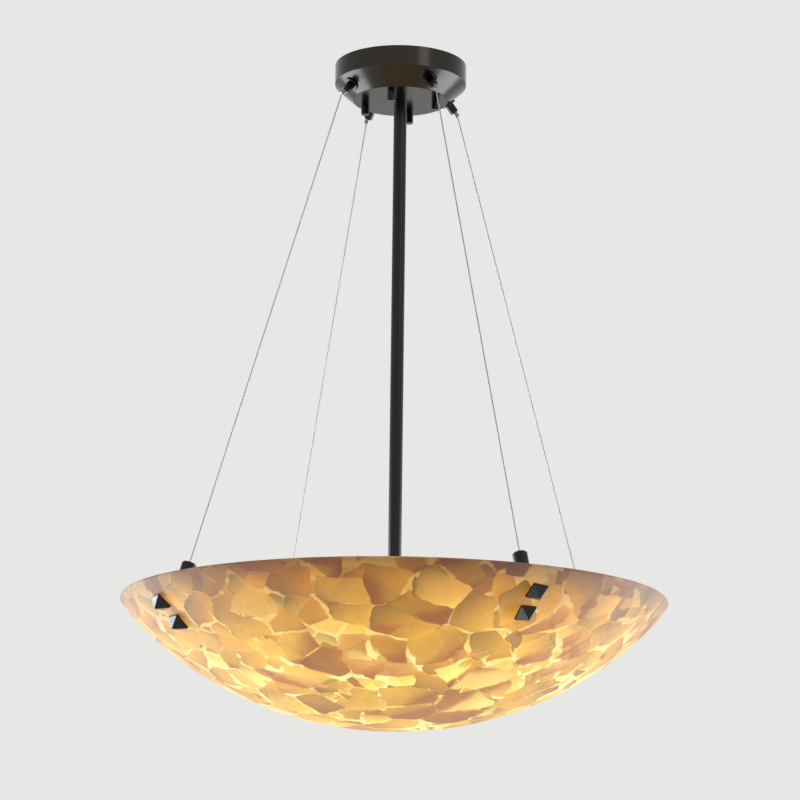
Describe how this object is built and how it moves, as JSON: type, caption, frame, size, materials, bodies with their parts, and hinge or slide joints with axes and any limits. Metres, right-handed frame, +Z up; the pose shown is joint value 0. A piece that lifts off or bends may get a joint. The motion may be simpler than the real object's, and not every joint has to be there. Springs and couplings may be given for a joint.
{
  "type": "alabaster bowl pendant",
  "caption": "Ceiling pendant: a wide, glowing stone-chip bowl hung on taut cables from a dark canopy, with a central stem carrying a lamp cluster.",
  "frame": {"origin": "middle of the ceiling plate's upper face, at the ceiling", "axes": "+Z up, -Y towards the front of the light; the light hangs below z = 0"},
  "size_m": [0.6092, 0.6092, 0.77],
  "materials": {
    "stone_glow": "satin, lit from inside",
    "dark_metal": "satin",
    "gloss_black": "gloss",
    "zinc_steel": "satin",
    "cable_steel": "satin",
    "brass": "polished",
    "soft_pad": "matt",
    "porcelain": "gloss",
    "lamp_glass": "frosted",
    "lamp_cap": "satin"
  },
  "bodies": {
    "frame": {"ceiling_plate": "zinc_steel", "ground_screw": "brass", "canopy_studs": "zinc_steel", "canopy_cap_nuts": "dark_metal", "canopy": "dark_metal", "gripper_bodies": "dark_metal", "gripper_nuts": "zinc_steel", "cable_tails": "cable_steel", "cable_1": "cable_steel", "cable_2": "cable_steel", "cable_3": "cable_steel", "cable_4": "cable_steel", "stem": "dark_metal", "top_nipple": "zinc_steel", "top_lock_nuts": "zinc_steel", "hub_nipple": "zinc_steel", "hub_lock_nut": "zinc_steel", "hub_body": "dark_metal", "hub_cover": "dark_metal", "cover_screws": "zinc_steel", "lampholder_1": "porcelain", "lampholder_2": "porcelain", "lampholder_3": "porcelain", "lampholder_4": "porcelain", "lampholder_5": "porcelain", "lampholder_6": "porcelain", "screw_shells": "brass", "centre_contacts": "brass"},
    "bowl_group": {"bowl": "stone_glow", "clip_1": "dark_metal", "clip_2": "dark_metal", "clip_3": "dark_metal", "clip_4": "dark_metal", "clip_pads": "soft_pad", "cable_stops": "zinc_steel", "clip_nuts": "zinc_steel", "finial_studs": "zinc_steel", "finials": "gloss_black", "finial_washers": "soft_pad"},
    "plunger_1": {"release_plunger_1": "zinc_steel"},
    "plunger_2": {"release_plunger_2": "zinc_steel"},
    "plunger_3": {"release_plunger_3": "zinc_steel"},
    "plunger_4": {"release_plunger_4": "zinc_steel"},
    "lamp_1": {"lamp_cap_1": "lamp_cap", "lamp_glass_1": "lamp_glass"},
    "lamp_2": {"lamp_cap_2": "lamp_cap", "lamp_glass_2": "lamp_glass"},
    "lamp_3": {"lamp_cap_3": "lamp_cap", "lamp_glass_3": "lamp_glass"},
    "lamp_4": {"lamp_cap_4": "lamp_cap", "lamp_glass_4": "lamp_glass"},
    "lamp_5": {"lamp_cap_5": "lamp_cap", "lamp_glass_5": "lamp_glass"},
    "lamp_6": {"lamp_cap_6": "lamp_cap", "lamp_glass_6": "lamp_glass"}
  },
  "joints": [
    {"name": "bowl_height", "type": "slide", "parent": "frame", "child": "bowl_group", "axis": [0, 0, 1], "range_m": [-0.025, 0.01], "deforming": ["cable_1", "cable_2", "cable_3", "cable_4"]},
    {"name": "plunger_1_press", "type": "slide", "parent": "frame", "child": "plunger_1", "axis": [-0.5616, -0.3509, 0.7493], "range_m": [0, 0.0025], "stiffness_N_per_m": 400, "springref_m": -0.002},
    {"name": "plunger_2_press", "type": "slide", "parent": "frame", "child": "plunger_2", "axis": [0.3509, -0.5616, 0.7493], "range_m": [0, 0.0025], "stiffness_N_per_m": 400, "springref_m": -0.002},
    {"name": "plunger_3_press", "type": "slide", "parent": "frame", "child": "plunger_3", "axis": [0.5616, 0.3509, 0.7493], "range_m": [0, 0.0025], "stiffness_N_per_m": 400, "springref_m": -0.002},
    {"name": "plunger_4_press", "type": "slide", "parent": "frame", "child": "plunger_4", "axis": [-0.3509, 0.5616, 0.7493], "range_m": [0, 0.0025], "stiffness_N_per_m": 400, "springref_m": -0.002},
    {"name": "lamp_1_out", "type": "slide", "parent": "frame", "child": "lamp_1", "axis": [0.9563, 0.2924, 0], "range_m": [0, 0.03]},
    {"name": "lamp_2_out", "type": "slide", "parent": "frame", "child": "lamp_2", "axis": [0.225, 0.9744, 0], "range_m": [0, 0.03]},
    {"name": "lamp_3_out", "type": "slide", "parent": "frame", "child": "lamp_3", "axis": [-0.7314, 0.682, 0], "range_m": [0, 0.03]},
    {"name": "lamp_4_out", "type": "slide", "parent": "frame", "child": "lamp_4", "axis": [-0.9563, -0.2924, 0], "range_m": [0, 0.03]},
    {"name": "lamp_5_out", "type": "slide", "parent": "frame", "child": "lamp_5", "axis": [-0.225, -0.9744, 0], "range_m": [0, 0.03]},
    {"name": "lamp_6_out", "type": "slide", "parent": "frame", "child": "lamp_6", "axis": [0.7314, -0.682, 0], "range_m": [0, 0.03]}
  ]
}
